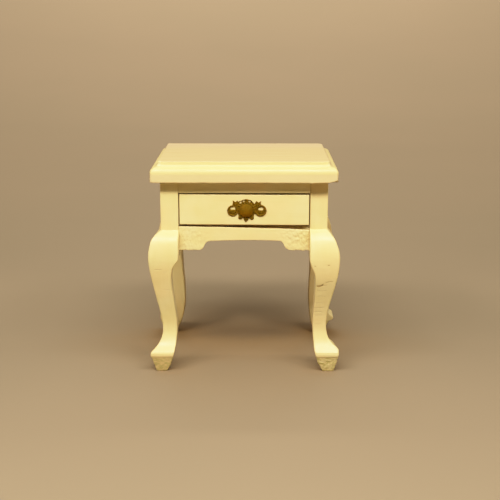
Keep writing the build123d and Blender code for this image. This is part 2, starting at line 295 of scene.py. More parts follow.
# ------------------------------------------------------------ material kit --
class Signal:
    """A shader output that combines with + - * like a number."""

    def __init__(self, material, socket):
        self.material, self.socket = material, socket

    def __add__(self, other):
        return self.material.math("ADD", self, other)

    def __sub__(self, other):
        return self.material.math("SUBTRACT", self, other)

    def __rsub__(self, other):
        return self.material.math("SUBTRACT", other, self)

    def __mul__(self, other):
        return self.material.math("MULTIPLY", self, other)

    def __abs__(self):
        return self.material.math("ABSOLUTE", self)

    def ramp(self, start, end, to=(0.0, 1.0)):
        """Goes smoothly from to[0] at start to to[1] at end."""
        inputs = {"Value": self, "From Min": start, "From Max": end,
                  "To Min": to[0], "To Max": to[1]}
        node = self.material.node("MapRange", inputs, interpolation_type="SMOOTHSTEP")
        return Signal(self.material, node.outputs[0])

    def ramp_mm(self, start, end, to=(0.0, 1.0)):
        return self.ramp(start * MM, end * MM, to)


class Material:
    """A Principled material whose colour and bump are built up layer by layer."""

    def __init__(self, name):
        self.data = bpy.data.materials.new(name)
        self.data.use_nodes = True
        self.tree = self.data.node_tree
        self.tree.nodes.clear()
        output = self.node("OutputMaterial")
        self.bsdf = self.node("BsdfPrincipled")
        self.tree.links.new(self.bsdf.outputs[0], output.inputs[0])
        self.position = Signal(self, self.node("TexCoord").outputs["Object"])
        self.normal = None

    def put(self, socket, value):
        if isinstance(value, Signal):
            self.tree.links.new(value.socket, socket)
        else:
            socket.default_value = value

    def node(self, kind, inputs={}, **settings):
        """Adds a node; inputs maps socket names or numbers to constants or signals."""
        node = self.tree.nodes.new("ShaderNode" + kind)
        for key, value in settings.items():
            setattr(node, key, value)
        for key, value in inputs.items():
            self.put(node.inputs[key], value)
        return node

    def math(self, operation, first, second=None, clamp=False):
        inputs = {0: first} if second is None else {0: first, 1: second}
        node = self.node("Math", inputs, operation=operation, use_clamp=clamp)
        return Signal(self, node.outputs[0])

    def xyz(self, vector):
        sockets = self.node("SeparateXYZ", {0: vector}).outputs
        return [Signal(self, socket) for socket in sockets]

    def noise(self, frequency, detail, roughness, distortion=0.0, location=(0, 0, 0)):
        """Noise in features per metre; frequency is one number or one for each axis."""
        mapping = self.node("Mapping", {
            "Vector": self.position, "Location": location,
            "Scale": np.full(3, frequency, float).tolist()})
        node = self.node("TexNoise", {
            "Vector": Signal(self, mapping.outputs[0]), "Scale": 1.0, "Detail": detail,
            "Roughness": roughness, "Distortion": distortion})
        return Signal(self, node.outputs[0])

    def ao(self, distance_mm, samples=6):
        node = self.node("AmbientOcclusion", {"Distance": distance_mm * MM}, samples=samples)
        return Signal(self, node.outputs["AO"])

    def mix(self, amount, under, over, mode="MIX"):
        under, over = (c if isinstance(c, Signal) else (*c, 1.0) for c in (under, over))
        node = self.node("Mix", {}, data_type="RGBA", blend_type=mode)
        for key, value in (("Factor", amount), (6, under), (7, over)):
            self.put(node.inputs[key], value)
        return Signal(self, node.outputs[2])

    def cover(self, amount, colour, mode="MIX"):
        """Lays a colour over the colour so far."""
        self.colour = self.mix(amount, self.colour, colour, mode)

    def emboss(self, height, depth_mm, strength):
        """Adds a bump over the bumps so far."""
        inputs = {"Strength": strength, "Distance": depth_mm * MM, "Height": height}
        if self.normal is not None:
            inputs["Normal"] = self.normal
        self.normal = Signal(self, self.node("Bump", inputs).outputs[0])

    def finish(self, inputs):
        """Connects colour, bump and the given inputs, and returns the material."""
        self.put(self.bsdf.inputs["Base Color"], self.colour)
        if self.normal is not None:
            self.put(self.bsdf.inputs["Normal"], self.normal)
        for key, value in inputs.items():
            self.put(self.bsdf.inputs[key], value)
        return self.data


def streaks(grain, along, across):
    """Noise frequencies that draw streaks along the grain axis."""
    return tuple(along if axis == grain else across for axis in "xyz")


# ------------------------------------------------------------- materials ---
CREAM = (0.800, 0.655, 0.292)
CREAM_THIN = (0.750, 0.590, 0.240)
CREAM_THICK = (0.830, 0.695, 0.345)
CREAM_ROSE = (0.860, 0.640, 0.290)
CREAM_HIGHLIGHT = (0.870, 0.735, 0.450)
BARE = (0.520, 0.335, 0.150)
BARE_DARK = (0.360, 0.205, 0.080)
WOOD_PORE = (0.22, 0.115, 0.04)
HOLLOW_SHADE = (0.42, 0.27, 0.10)
SCAR_BROWN = (0.40, 0.27, 0.10)


def wood_colour(m, grain):
    """Pale close-grained wood: long soft bands and fine dark pores along the grain."""
    bands = m.noise(streaks(grain, along=180, across=1620), detail=4.0, roughness=0.55,
                    distortion=0.6)
    pores = m.noise(streaks(grain, along=420, across=9240), detail=2.0, roughness=0.5)
    colour = m.mix(bands.ramp(0.32, 0.68), BARE, BARE_DARK)
    colour = m.mix(pores.ramp(0.60, 0.78, to=(0.0, 0.45)), colour, WOOD_PORE)
    return colour, bands, pores


def shade_top(m):
    """The table top's tones: painted shade on the field and in the end coves, a cooler lip,
    painted highlights on the field's front corners.
    """
    # painted shade: the flat field on top is made darker than the moulding, to take down the
    # light falling on it from above
    m.cover(m.z.ramp_mm(62.86, 62.93, to=(0.0, 0.70)), (0.620, 0.455, 0.230))
    # the lip and the back of the field are a cooler cream
    lip = m.z.ramp_mm(59.2, 60.0, to=(1.0, 0.0))
    back = m.y.ramp_mm(4.0, 17.0) * m.z.ramp_mm(62.80, 62.90)
    m.cover(m.math("MAXIMUM", lip, back), (0.990, 0.985, 1.18), "MULTIPLY")
    # painted shade: a shadow line in the hollow of the shoulder along the two ends
    side = abs(m.x)
    cove_shade = side.ramp_mm(24.4, 24.8) * side.ramp_mm(25.2, 25.8, to=(1.0, 0.0))
    cove_shade = cove_shade * m.z.ramp_mm(62.75, 62.86, to=(1.0, 0.0))
    cove_shade = cove_shade * abs(m.y).ramp_mm(17.7, 18.5, to=(1.0, 0.0))
    cove_shade = cove_shade * m.cloud.ramp(0.30, 0.55, to=(0.45, 1.0))
    m.cover(cove_shade * 0.55, (0.46, 0.34, 0.19))
    # painted highlight: the field's two front corners are lightened, where their side-facing
    # moulding falls into shade
    out, ahead = side - 24.75 * MM, m.y + 18.35 * MM
    near = m.math("SQRT", out * out + ahead * ahead)
    corner_highlight = near.ramp_mm(0.45, 1.10, to=(1.0, 0.0)) * m.z.ramp_mm(61.6, 61.9)
    m.cover(corner_highlight * 0.75, (1.0, 0.88, 0.46))


def add_lumps(m):
    """Dry, lumpy paint towards the ends of the apron."""
    ends = abs(m.x).ramp_mm(10.0, 17.5)
    lump = m.noise((1300, 1300, 1700), detail=4.0, roughness=0.62)
    m.emboss(lump * ends, depth_mm=0.10, strength=0.7)
    m.cover(lump.ramp(0.52, 0.68, to=(0.0, 0.6)) * ends, (0.60, 0.44, 0.19))


def add_ledge_shade(m, normal, amount):
    """Painted shade on the upward faces, which lie in the dark gaps round the drawer; less of
    it towards the right.
    """
    up = m.xyz(normal)[2]
    darkening = up.ramp(0.55, 0.80) * m.z.ramp_mm(42.2, 42.5)
    fade = m.x.ramp_mm(-2.0, 12.0, to=(amount, 0.35 * amount))
    m.cover(darkening * fade, (0.13, 0.075, 0.022))


def roughen_feet(m, amount):
    """Sawn pads: coarser and thinly painted below the foot's edge."""
    pad = m.z.ramp_mm(4.3, 5.0, to=(1.0, 0.0))
    saw = m.noise((700, 700, 1500), detail=4.0, roughness=0.65, distortion=0.4)
    m.cover(pad * saw.ramp(0.40, 0.60, to=(0.0, amount)), (0.55, 0.465, 0.150))
    m.emboss(saw * pad, depth_mm=0.14, strength=0.8)
    m.rough = m.rough + pad * 0.25


def add_scar(m, x, z, half, width, bend, amount, tilt):
    """A short bent line cut in the front face."""
    off = m.x - x * MM
    line = m.z - z * MM - off * off * (bend / MM) - off * tilt
    jag = (m.speck - 0.5) * (0.16 * MM)
    mask = (abs(line + jag).ramp_mm(0.2 * width, width, to=(1.0, 0.0))
            * abs(off).ramp_mm(0.6 * half, half, to=(1.0, 0.0)))
    mask = mask * m.y.ramp_mm(-17.4, -17.2, to=(1.0, 0.0))
    m.cover(mask * amount, SCAR_BROWN)
    m.emboss(1.0 - mask, depth_mm=0.10, strength=0.8)


def bare_inside(m, stroke, drawer):
    """Bare wood inside the carcass or behind the drawer front, with a little paint mist."""
    ragged = m.noise(500, detail=3.0, roughness=0.6).ramp(0.3, 0.7, to=(-0.00035, 0.00035))
    if drawer:
        bare = (m.y + ragged).ramp_mm(-17.0, -16.5)
    else:
        bare = ((abs(m.x) + ragged).ramp_mm(22.05, 22.75, to=(1.0, 0.0))
                * (abs(m.y) + ragged).ramp_mm(15.55, 16.25, to=(1.0, 0.0)))
        bare = bare * (m.z + ragged).ramp_mm(36.9, 37.6)
        bare = bare * m.z.ramp_mm(57.5, 57.8, to=(1.0, 0.0))
    bare = bare * m.speck.ramp(0.42, 0.62, to=(0.55, 1.0))
    m.cover(bare, wood_colour(m, stroke)[0])
    m.rough = m.math("ADD", m.rough, bare * 0.3, clamp=True)


def paint(name, stroke, hollow=0.45, tone=None, darker_stretch=None, top=False, lumps=False,
          ledge=0.0, saws=0.0, scars=(), drawer=False):
    """Cream paint brushed along the stroke axis.  hollow and ledge are amounts of painted
    shade, saws of the sawn pads' coarse colour; darker_stretch is (low z, high z, amount) of a
    darkened band up the leg; scars are add_scar rows."""
    m = Material(name)
    m.x, m.y, m.z = m.xyz(m.position)
    strokes = m.noise(streaks(stroke, along=120, across=2600), detail=3.0, roughness=0.6)
    swaths = m.noise(streaks(stroke, along=60, across=700), detail=3.0, roughness=0.55)
    m.cloud = m.noise(160, detail=3.0, roughness=0.5)
    m.speck = m.noise(1500, detail=3.0, roughness=0.6)
    tint = m.noise(70, detail=2.0, roughness=0.5, location=(0.3, 0.1, 0.7))
    m.colour = m.mix(m.cloud.ramp(0.30, 0.70), CREAM, CREAM_THICK)
    m.cover(tint.ramp(0.42, 0.66, to=(0.0, 0.6)), CREAM_ROSE)
    m.cover(swaths.ramp(0.42, 0.72, to=(0.0, 0.22)), CREAM_THIN)
    m.cover(strokes.ramp(0.52, 0.78, to=(0.0, 0.12)), CREAM_THIN)
    # painted shade: a warmer, darker tone in hollows and where two pieces meet, by ambient
    # occlusion
    m.cover(m.ao(0.9).ramp(0.25, 0.80, to=(hollow, 0.0)), HOLLOW_SHADE)
    # painted highlight: the arrises are made paler, unevenly, where light catches their
    # rounding
    geometry = m.node("NewGeometry").outputs
    patches = m.noise(420, detail=4.0, roughness=0.65).ramp(0.36, 0.60, to=(0.25, 0.85))
    edge_highlight = Signal(m, geometry["Pointiness"]).ramp(0.53, 0.62) * patches
    if tone is None:
        m.cover(edge_highlight, CREAM_HIGHLIGHT)
    else:
        m.cover(edge_highlight * 0.3, CREAM_HIGHLIGHT)
        m.cover(0.75, tone)
    # a band up the leg made darker; on the back right leg this is painted shade from the front
    # right leg
    if darker_stretch is not None:
        low, high, amount = darker_stretch
        darker_band = m.z.ramp_mm(low, low + 3.0) * m.z.ramp_mm(high - 3.0, high, to=(amount, 0.0))
        m.cover(darker_band, (0.56, 0.40, 0.17))
    if top:
        shade_top(m)
    m.rough = swaths.ramp(0.3, 0.7, to=(0.36, 0.52))
    m.emboss(strokes * 0.55 + swaths * 0.45, depth_mm=0.030, strength=0.55)
    m.emboss(m.speck, depth_mm=0.012, strength=0.35)
    if lumps:
        add_lumps(m)
    if ledge:
        add_ledge_shade(m, Signal(m, geometry["Normal"]), ledge)
    if saws:
        roughen_feet(m, saws)
    for scar in scars:
        add_scar(m, *scar)
    bare_inside(m, stroke, drawer)
    return m.finish({"Roughness": m.rough, "Specular IOR Level": 0.42,
                     "Coat Weight": 0.10, "Coat Roughness": 0.35})


def bare_wood(name, grain, overspray=None):
    """Bare wood; overspray is the y span in which cream mist fades out from the front."""
    m = Material(name)
    m.colour, bands, pores = wood_colour(m, grain)
    speck = m.noise(1500, detail=3.0, roughness=0.6)
    if overspray is not None:
        near = m.xyz(m.position)[1].ramp_mm(*overspray, to=(1.0, 0.0))
        m.cover(near * speck.ramp(0.40, 0.60, to=(0.25, 0.95)), CREAM)
    # painted shade: darker in hollows and where pieces meet, by ambient occlusion
    m.cover(m.ao(1.2).ramp(0.2, 0.85, to=(0.5, 0.0)), (0.18, 0.10, 0.04))
    m.emboss(bands * 0.5 + pores * 0.7, depth_mm=0.03, strength=0.6)
    m.emboss(speck, depth_mm=0.012, strength=0.4)
    return m.finish({"Roughness": pores.ramp(0.3, 0.7, to=(0.58, 0.78)),
                     "Specular IOR Level": 0.3})


def brass(name, roughness, dome=False):
    """Stamped brass: dark and dull in the hollows, rubbed bright on what stands proud."""
    m = Material(name)
    cloud = m.noise(900, detail=4.0, roughness=0.6)
    pit = m.noise(5200, detail=3.0, roughness=0.6)
    brush = m.noise(streaks("x", along=900, across=5000), detail=2.0, roughness=0.6)
    m.colour = m.mix(cloud.ramp(0.3, 0.7), (0.222, 0.108, 0.002), (0.180, 0.104, 0.003))
    hollow = m.ao(0.55, samples=8).ramp(0.35, 0.95, to=(1.0, 0.0))
    m.cover(hollow * 0.60, (0.070, 0.036, 0.003))
    m.cover(pit.ramp(0.60, 0.75, to=(0.0, 0.5)), (0.07, 0.035, 0.008))
    pointiness = Signal(m, m.node("NewGeometry").outputs["Pointiness"])
    m.cover(pointiness.ramp(0.40, 0.495, to=(0.70, 0.0)), (0.045, 0.026, 0.001))
    m.cover(pointiness.ramp(0.52, 0.60, to=(0.0, 0.40)), (0.270, 0.155, 0.012))
    if dome:
        # the dome is darker all over; painted light: its lower part, which faces down into
        # shade, is lightened to a warm brown
        m.cover(1.0, (0.80, 0.81, 0.82), "MULTIPLY")
        low = m.xyz(m.position)[2].ramp_mm(47.2, 49.6, to=(0.95, 0.0))
        m.cover(low, (0.300, 0.138, 0.001))
    else:
        # dirt caught in the stamping
        darkening = m.noise(2600, detail=2.0, roughness=0.5)
        m.cover(darkening.ramp(0.47, 0.60, to=(0.0, 0.70)), (0.052, 0.032, 0.001))
    dull = cloud.ramp(0.3, 0.7, to=(roughness, roughness + 0.12))
    m.emboss(pit, depth_mm=0.008, strength=0.45)
    m.emboss(brush, depth_mm=0.006, strength=0.35)
    return m.finish({"Roughness": m.math("ADD", dull, hollow * 0.25, clamp=True),
                     "Metallic": 0.50, "Specular IOR Level": 0.12})


# Scars on the front legs: x, z, half length, width, bend, amount, tilt.
LEFT_SCARS = (
    (-25.1, 31.7, 1.3, 0.17, 0.06, 0.40, 0.0), (-23.2, 30.9, 0.7, 0.12, 0.10, 0.25, 0.1),
    (-22.6, 25.2, 1.6, 0.10, 0.05, 0.18, 0.0))
RIGHT_SCARS = (
    (22.2, 26.5, 1.2, 0.42, 0.30, 1.0, 0.30), (24.8, 27.9, 1.3, 0.18, -0.10, 0.55, 0.20),
    (23.4, 26.7, 1.0, 0.15, 0.1, 0.4, 0.1), (20.6, 32.8, 0.30, 0.20, 0.0, 0.6, 0.0),
    (24.55, 33.1, 0.36, 0.24, 0.0, 0.75, 0.0), (22.9, 25.0, 1.6, 0.12, 0.05, 0.35, 0.05),
    (22.6, 23.2, 1.5, 0.11, -0.08, 0.35, 0.0), (22.0, 19.4, 1.9, 0.12, 0.05, 0.50, 0.05),
    (21.8, 18.1, 1.6, 0.12, -0.05, 0.50, -0.06), (21.9, 16.9, 1.5, 0.11, 0.06, 0.40, 0.0),
    (22.2, 21.0, 1.7, 0.09, -0.03, 0.30, 0.0), (21.9, 14.2, 1.2, 0.09, 0.04, 0.25, 0.0))

PAINT_TOP = paint("cream_paint_top", "x", top=True, hollow=0.10, tone=(0.735, 0.575, 0.232))
PAINT_X = paint("cream_paint_across", "x")
PAINT_Y = paint("cream_paint_fore_aft", "y")
PAINT_LEG = paint("cream_paint_upright", "z", saws=0.65)
PAINT_LEG_LEFT = paint("cream_paint_left_leg", "z", saws=0.75, scars=LEFT_SCARS)
PAINT_LEG_RIGHT = paint("cream_paint_right_leg", "z", saws=0.9, darker_stretch=(10.0, 29.5, 0.22),
                        scars=RIGHT_SCARS)
# painted shade: the back right leg is darkened over most of its height, where the front right
# leg shades it
PAINT_LEG_BACK = paint("cream_paint_back_leg", "z", saws=0.65, darker_stretch=(8.0, 40.0, 0.75))
PAINT_APRON = paint("cream_paint_apron", "x", lumps=True, ledge=0.8)
PAINT_DRAWER = paint("cream_paint_drawer", "x", drawer=True, ledge=0.6)
WOOD_Y = bare_wood("bare_wood_fore_aft", "y", overspray=(-15.5, -9.0))
WOOD_X = bare_wood("bare_wood_across", "x")
WOOD_RUNNER = bare_wood("bare_wood_runner", "y", overspray=(-15.2, -11.0))
BRASS_PLATE = brass("antique_brass_plate", roughness=0.56)
BRASS_KNOB = brass("antique_brass_knob", roughness=0.68, dome=True)

# -------------------------------------------------------------- table top --
# The moulded edge, from the lip up to the shoulder: (inset, z).
TOP_EDGE = [(0.0, 59.45), (0.09, 60.2), (0.37, 60.83), (0.86, 61.22), (1.38, 61.45),
            (1.72, 61.78), (1.90, 62.25), (1.96, 62.70)]
LIP_ROUND, FIELD_ROUND = 0.25, 0.28    # radii of the lip's lower edge and the field's edge


def top_mesh():
    """The top as rings of (inset, z, corner radius), from underneath to the field."""
    rings = [(3.2, TOP_Z0, 0.9), (1.6, TOP_Z0, 0.8), (0.7, TOP_Z0, 0.7)]
    rings += [(LIP_ROUND * (1 - math.sin(turn)), TOP_Z0 + LIP_ROUND * (1 - math.cos(turn)), 0.6)
              for turn in np.linspace(0, math.pi / 2, 5)]
    rings += [(0.0, z, 0.6) for z in np.arange(57.65, 59.4, 0.3)]
    rings += [(inset, z, 0.6 + 0.9 * float(smooth(1.0, 1.9, inset)))
              for inset, z in spline(TOP_EDGE, (0.0, 1.0), (0.02, 1.0), steps=5)]
    rings += [(1.96 + FIELD_ROUND * (1 - math.cos(turn)),
               TOP_Z - FIELD_ROUND + FIELD_ROUND * math.sin(turn), 1.5)
              for turn in np.linspace(0.25, math.pi / 2, 6)]
    rings += [(2.45, TOP_Z, 1.5), (2.75, 62.985, 1.5), (3.1, 62.965, 1.5), (3.6, 62.96, 1.5)]
    loft = Loft(104, 80, arc=5)
    for inset, z, radius in rings:
        # the shoulder is cut a little wider along the two ends, most on the right
        widen = float(smooth(0.80, 1.75, inset)) if z > 60.0 else 0.0
        loop = loft.loop(-TOP_W / 2 + inset + 0.18 * widen, TOP_W / 2 - inset - 0.45 * widen,
                         -TOP_D / 2 + inset, TOP_D / 2 - inset,
                         (radius, radius, radius, 0.3 + 0.2 * (radius - 0.6)))
        loft.ring(loop[:, 0], loop[:, 1], z)
    return loft.closed()


def shape_top(points, normals):
    x, y, z = points.T
    shaped = points.copy()
    inset = np.minimum(TOP_W / 2 - abs(x), TOP_D / 2 - abs(y))
    rim = smooth(0.0, 3.5, inset)    # 0 at the lip, 1 on the field
    broad = fbm(points, 7.0, octaves=2, seed=3) * (0.035 * (1 - rim) + 0.012 * rim)
    fine = fbm(points, 2.2, octaves=3, seed=8, stretch=(1.6, 1.6, 1))
    shaped += normals * (broad + fine * (0.018 * (1 - rim) + 0.004 * rim))[:, None]
    # the lip's lower edge is uneven
    under = smooth(58.2, 57.1, z) * (1 - smooth(0.2, 1.6, inset))
    shaped[:, 2] += under * 0.07 * fbm(points * (1, 1, 0), 3.2, octaves=3, seed=21)
    # its front right corner is rubbed away underneath, the front left one much less
    front = smooth(-19.0, -20.2, y)
    shaped[:, 2] += under * front * 0.62 * smooth(23.6, 27.2, x) ** 1.2
    shaped[:, 2] += under * front * 0.10 * smooth(25.6, 27.0, -x)
    shaped[:, 0] -= front * smooth(24.8, 27.0, x) * smooth(61.0, 58.6, z) * 0.10
    # a bead of paint left hanging over the right end of the rail
    distance = np.hypot(x - 19.35, (z - 57.15) * 0.8)
    bead = np.exp(-(distance / 0.30) ** 2) * smooth(-20.0, -20.4, y)
    shaped[:, 1] -= bead * 0.10
    shaped[:, 2] -= bead * 0.26
    return shaped


make("table_top_painted", *top_mesh(), "frame", "cream_paint", "table_top", PAINT_TOP,
     shape=shape_top)

# ------------------------------------------------------------------- legs --
# Side outlines as (distance out from the post's outer face, z).  knee runs down the outer
# curve to the foot, tip and pad end it, and inside runs up the inner curve to the post.
LEFT_LEG = dict(
    knee=[(0.10, 42.60), (0.68, 42.20), (1.60, 41.55), (2.62, 40.20), (3.24, 38.3),
          (3.55, 36.2), (3.55, 34.0), (3.33, 31.8), (2.95, 29.25), (2.43, 26.6), (1.82, 23.6),
          (1.17, 20.56), (0.56, 17.5), (0.15, 14.6), (0.07, 12.5), (0.23, 10.9), (0.66, 9.55),
          (1.24, 8.5), (1.98, 7.65), (2.76, 6.95), (3.38, 6.35)],
    tip=[(3.60, 5.85), (3.60, 5.10), (3.30, 4.50)],
    pad=(1.98, 0.0),
    inside=[(-1.2, 0.0), (-1.62, 0.75), (-2.12, 1.7), (-2.6, 2.95), (-3.05, 4.35),
            (-3.44, 5.9), (-3.80, 7.6), (-4.07, 9.7), (-4.24, 11.6), (-4.27, 13.6),
            (-4.07, 16.5), (-3.76, 19.9), (-3.38, 23.3), (-3.08, 26.3), (-2.98, 28.6),
            (-3.12, 30.5), (-3.56, 32.05), (-4.33, 33.4), (-5.2, 34.75)],
)
RIGHT_LEG = dict(
    knee=[(0.05, 42.75), (0.45, 42.35), (1.00, 41.8), (2.06, 40.4), (2.90, 38.45),
          (3.40, 36.4), (3.55, 34.3), (3.45, 32.4), (3.06, 29.5), (2.53, 26.9), (1.82, 23.9),
          (1.14, 21.15), (0.54, 18.4), (0.17, 15.7), (0.08, 13.5), (0.23, 12.0),
          (0.56, 10.65), (1.11, 9.57), (1.84, 8.7), (2.70, 7.98), (3.42, 7.42)],
    tip=[(3.78, 6.95), (3.80, 5.40), (3.58, 4.40)],
    pad=(2.40, 0.0),
    inside=[(-0.97, 0.0), (-1.43, 0.87), (-2.15, 2.4), (-2.85, 4.15), (-3.37, 6.25),
            (-3.63, 8.25), (-3.80, 10.2), (-3.97, 12.5), (-4.0, 15.4), (-3.81, 18.4),
            (-3.62, 21.8), (-3.51, 25.9), (-3.50, 28.3), (-3.72, 29.9), (-4.30, 31.5),
            (-4.88, 32.95), (-5.2, 34.2)],
)
# The front right leg seen from its side: lower at the toe.
RIGHT_LEG_FORE = dict(
    RIGHT_LEG,
    knee=RIGHT_LEG["knee"][:-4] + [(0.86, 9.75), (1.45, 8.65), (2.15, 7.75), (2.95, 6.85)],
    tip=[(3.42, 6.20), (3.55, 5.55), (3.48, 4.95), (3.22, 4.55)], pad=(2.1, 0.0))
BACK_RIGHT_LEG = dict(
    RIGHT_LEG, knee=RIGHT_LEG["knee"][:-3] + [(1.80, 8.45), (2.75, 7.40), (3.70, 6.45)],
    tip=[(4.30, 6.0), (4.48, 5.6), (4.46, 5.2), (4.20, 4.85), (3.20, 4.45)], pad=(1.70, 0.0))
BACK_LEFT_LEG = dict(
    RIGHT_LEG,
    inside=[(-0.97, 0.0), (-1.45, 0.87), (-2.25, 2.4), (-3.05, 4.15), (-3.75, 6.25),
            (-4.18, 8.25), (-4.45, 10.2), (-4.60, 12.5), (-4.58, 15.4), (-4.36, 18.4),
            (-4.02, 21.8), (-3.75, 25.9), (-3.62, 28.3), (-3.76, 29.9)]
           + RIGHT_LEG["inside"][-3:])
# Dents in the front faces: x, z, half length, half width, depth, bend.
LEFT_DENTS = ((-22.4, 31.2, 1.0, 0.12, 0.04, 0.2), (-22.0, 22.0, 1.5, 0.12, 0.025, 0.1))
RIGHT_DENTS = (
    (22.0, 24.6, 1.4, 0.16, 0.07, -0.45), (20.9, 30.4, 0.35, 0.22, 0.05, 0.0),
    (23.4, 31.0, 0.4, 0.2, 0.05, 0.0), (22.2, 16.6, 1.9, 0.14, 0.05, 0.1),
    (22.0, 15.1, 1.7, 0.13, 0.045, -0.1), (22.3, 18.2, 1.6, 0.12, 0.03, 0.1))


def leg_profile(curves):
    """The outer and inner outlines as functions of z."""
    knee = spline(curves["knee"], (0.85, -1.0), (0.85, -0.8), steps=8)
    post = [(0.0, TOP_Z0), (0.0, curves["knee"][0][1] + 0.10)]
    outer = np.vstack([post, knee, curves["tip"], [curves["pad"]]])[::-1]
    inner = np.vstack([spline(curves["inside"], (-0.5, 1.0), (-0.25, 1.0), steps=8),
                       [(-POST, TOP_Z0)]])
    return (lambda z: np.interp(z, outer[:, 1], outer[:, 0]),
            lambda z: np.interp(z, inner[:, 1], inner[:, 0]))


def span(first, last, grow=0.0):
    return min(first, last) - grow, max(first, last) + grow


def front_tenon(side):
    """The y span of the front boards' tenons; the right ones sit further back, as that
    post is planed."""
    mid = -FRONT_MID + (0.45 if side > 0 else 0.0)
    return mid - 0.6, mid + 0.6


def panel_tenon(mid, grow=0.0):
    return span(mid - PANEL_TENON_T / 2, mid + PANEL_TENON_T / 2, grow)


def mortises(side, end):
    """Sockets in the post at side (-1 left, 1 right) and end (-1 front, 1 back)."""
    into_x = span(side * (INNER_X - 1.0), side * (INNER_X + TENON + GLUE))
    into_y = span(end * (INNER_Y - 1.0), end * (INNER_Y + TENON + GLUE))
    panel_z = span(*PANEL_TENON, GLUE)
    if end < 0:
        cuts = [(into_x, span(*front_tenon(side), GLUE), span(*height, GLUE))
                for height in (TOP_TENON, APRON_TENON)]
    else:
        cuts = [(into_x, panel_tenon(BACK_MID, GLUE), panel_z)]
    return cuts + [(panel_tenon(side * SIDE_MID, GLUE), into_y, panel_z)]


def build_leg(node, side, end, curves, curves_y, seed, material, dents=(), planed=0.0,
              chips=0.05, foot_taper=0.0, knee_taper=0.0, lean=0.0):
    """A leg from its outline seen from the front (curves) and from the side (curves_y)."""
    outer, inner = leg_profile(curves)
    outer_y, inner_y = leg_profile(curves_y)
    start = curves["knee"][0][1]
    heights = np.concatenate([
        [0.0, 0.06, 0.14, 0.30], np.arange(0.55, 4.0, 0.25), np.arange(4.0, 9.0, 0.13),
        np.arange(9.0, 31.0, 0.32), np.arange(31.0, start - 0.12, 0.22),
        [start - 0.06, start + 0.03, start + 0.12, start + 0.3],
        np.arange(start + 0.5, start + 1.4, 0.15), np.arange(start + 1.5, 56.9, 0.45),
        [TOP_Z0]])
    loft = Loft(12, 12, arc=4)
    for z in heights:
        tuck = 0.10 * max(0.0, 1 - z / 0.14)
        x = span(side * (POST_X + outer(z)), side * (POST_X + inner(z)), -tuck)
        y = span(end * (POST_Y + outer_y(z)), end * (POST_Y + inner_y(z)), -tuck)
        radius = 0.26 + 0.14 * float(smooth(44.0, 40.0, z)) - 0.02 * float(smooth(8.0, 4.0, z))
        loop = loft.loop(*x, *y, radius)
        loft.ring(loop[:, 0], loop[:, 1], z)

    def shape(points, normals):
        x, y, z = points.T
        shaped = points.copy()
        free = smooth(0.02, 0.6, z)       # the pad's underside stays flat
        below = smooth(44.0, 41.0, z)     # the carved part is rougher than the post
        relief = fbm(points, 5.5, octaves=2, seed=seed) * (0.020 + 0.040 * below)
        relief += fbm(points, 1.6, octaves=2, seed=seed + 5) * (0.006 + 0.014 * below)
        # faint ridges across the faces
        ridges = noise(points * (0.25, 0.25, 1.9), seed + 9)
        relief += 0.012 * below * ridges
        pad = smooth(5.0, 4.2, z)
        relief += pad * chips * fbm(points, 0.9, octaves=3, seed=seed + 12,
                                    stretch=(1, 1, 0.7))
        for dent_x, dent_z, half, width, depth, bend in dents:
            along = (x - dent_x) / half
            across = (z - dent_z - bend * along * along) / width
            relief -= (depth * np.exp(-(along ** 4) - across * across)
                       * smooth(0.3, 0.8, -normals[:, 1]))
        shaped += normals * (relief * free)[:, None]
        shaped[:, 2] = np.maximum(shaped[:, 2], 0.0)
        # foot and knee narrow a little towards their backs
        out_x, in_x = POST_X + outer(z), POST_X + inner(z)
        part = np.clip((side * x - in_x) / (out_x - in_x), 0, 1)
        behind = np.clip(POST_Y + outer_y(z) - end * y, 0, None)
        taper = (foot_taper * smooth(2.6, 4.6, z) * smooth(22.0, 9.5, z)
                 + knee_taper * smooth(29.0, 34.0, z) * smooth(start + 0.1, start - 1.6, z))
        shaped[:, 0] -= side * part * behind * taper
        shaped[:, 0] += side * lean * smooth(2.5, 6.5, z) * smooth(35.5, 29.0, z)
        # the outer face of the square post may be planed back
        face = smooth(POST_Y - 2.4, POST_Y - 0.2, end * y)
        shaped[:, 1] -= end * planed * face * smooth(42.15, 42.95, z)
        return shaped

    leg = make(node + "_carved", *loft.closed(), "frame", "cream_paint", node, material,
               shape=shape)
    join_boxes(leg, mortises(side, end), "DIFFERENCE")


build_leg("front_left_leg", -1, -1, LEFT_LEG, LEFT_LEG, seed=40, material=PAINT_LEG_LEFT,
          dents=LEFT_DENTS, foot_taper=0.26, knee_taper=0.08)
build_leg("front_right_leg", 1, -1, RIGHT_LEG, RIGHT_LEG_FORE, seed=57,
          material=PAINT_LEG_RIGHT, dents=RIGHT_DENTS, planed=0.85, chips=0.12,
          foot_taper=0.19, knee_taper=0.03)
build_leg("back_left_leg", -1, 1, BACK_LEFT_LEG, RIGHT_LEG, seed=73, material=PAINT_LEG)
build_leg("back_right_leg", 1, 1, BACK_RIGHT_LEG, RIGHT_LEG, seed=91,
          material=PAINT_LEG_BACK, lean=0.38)

# -------------------------------------------------- rails, apron and panels
END_ROUND = 0.10
BOARD_FRONT, BOARD_BACK = -(POST_Y - SET_BACK), -(POST_Y - SET_BACK - RAIL_T)
RAIL_Z0 = 53.65
APRON_Z0, APRON_Z1, ARCH_Z = 36.70, 43.65, 39.60
APRON_TOP_Z = APRON_Z1 + 0.04
# How far the apron's top edge is planed down at its face: x, and the drop there.
PLANED_X = (-19.1, -17.2, -12.0, -7.0, 1.1, 5.6, 10.4, 14.6, 16.7, 19.1)
PLANED_DROP = (-0.21, -0.16, -0.01, 0.05, 0.33, 0.54, 0.70, 0.88, 1.04, 1.14)


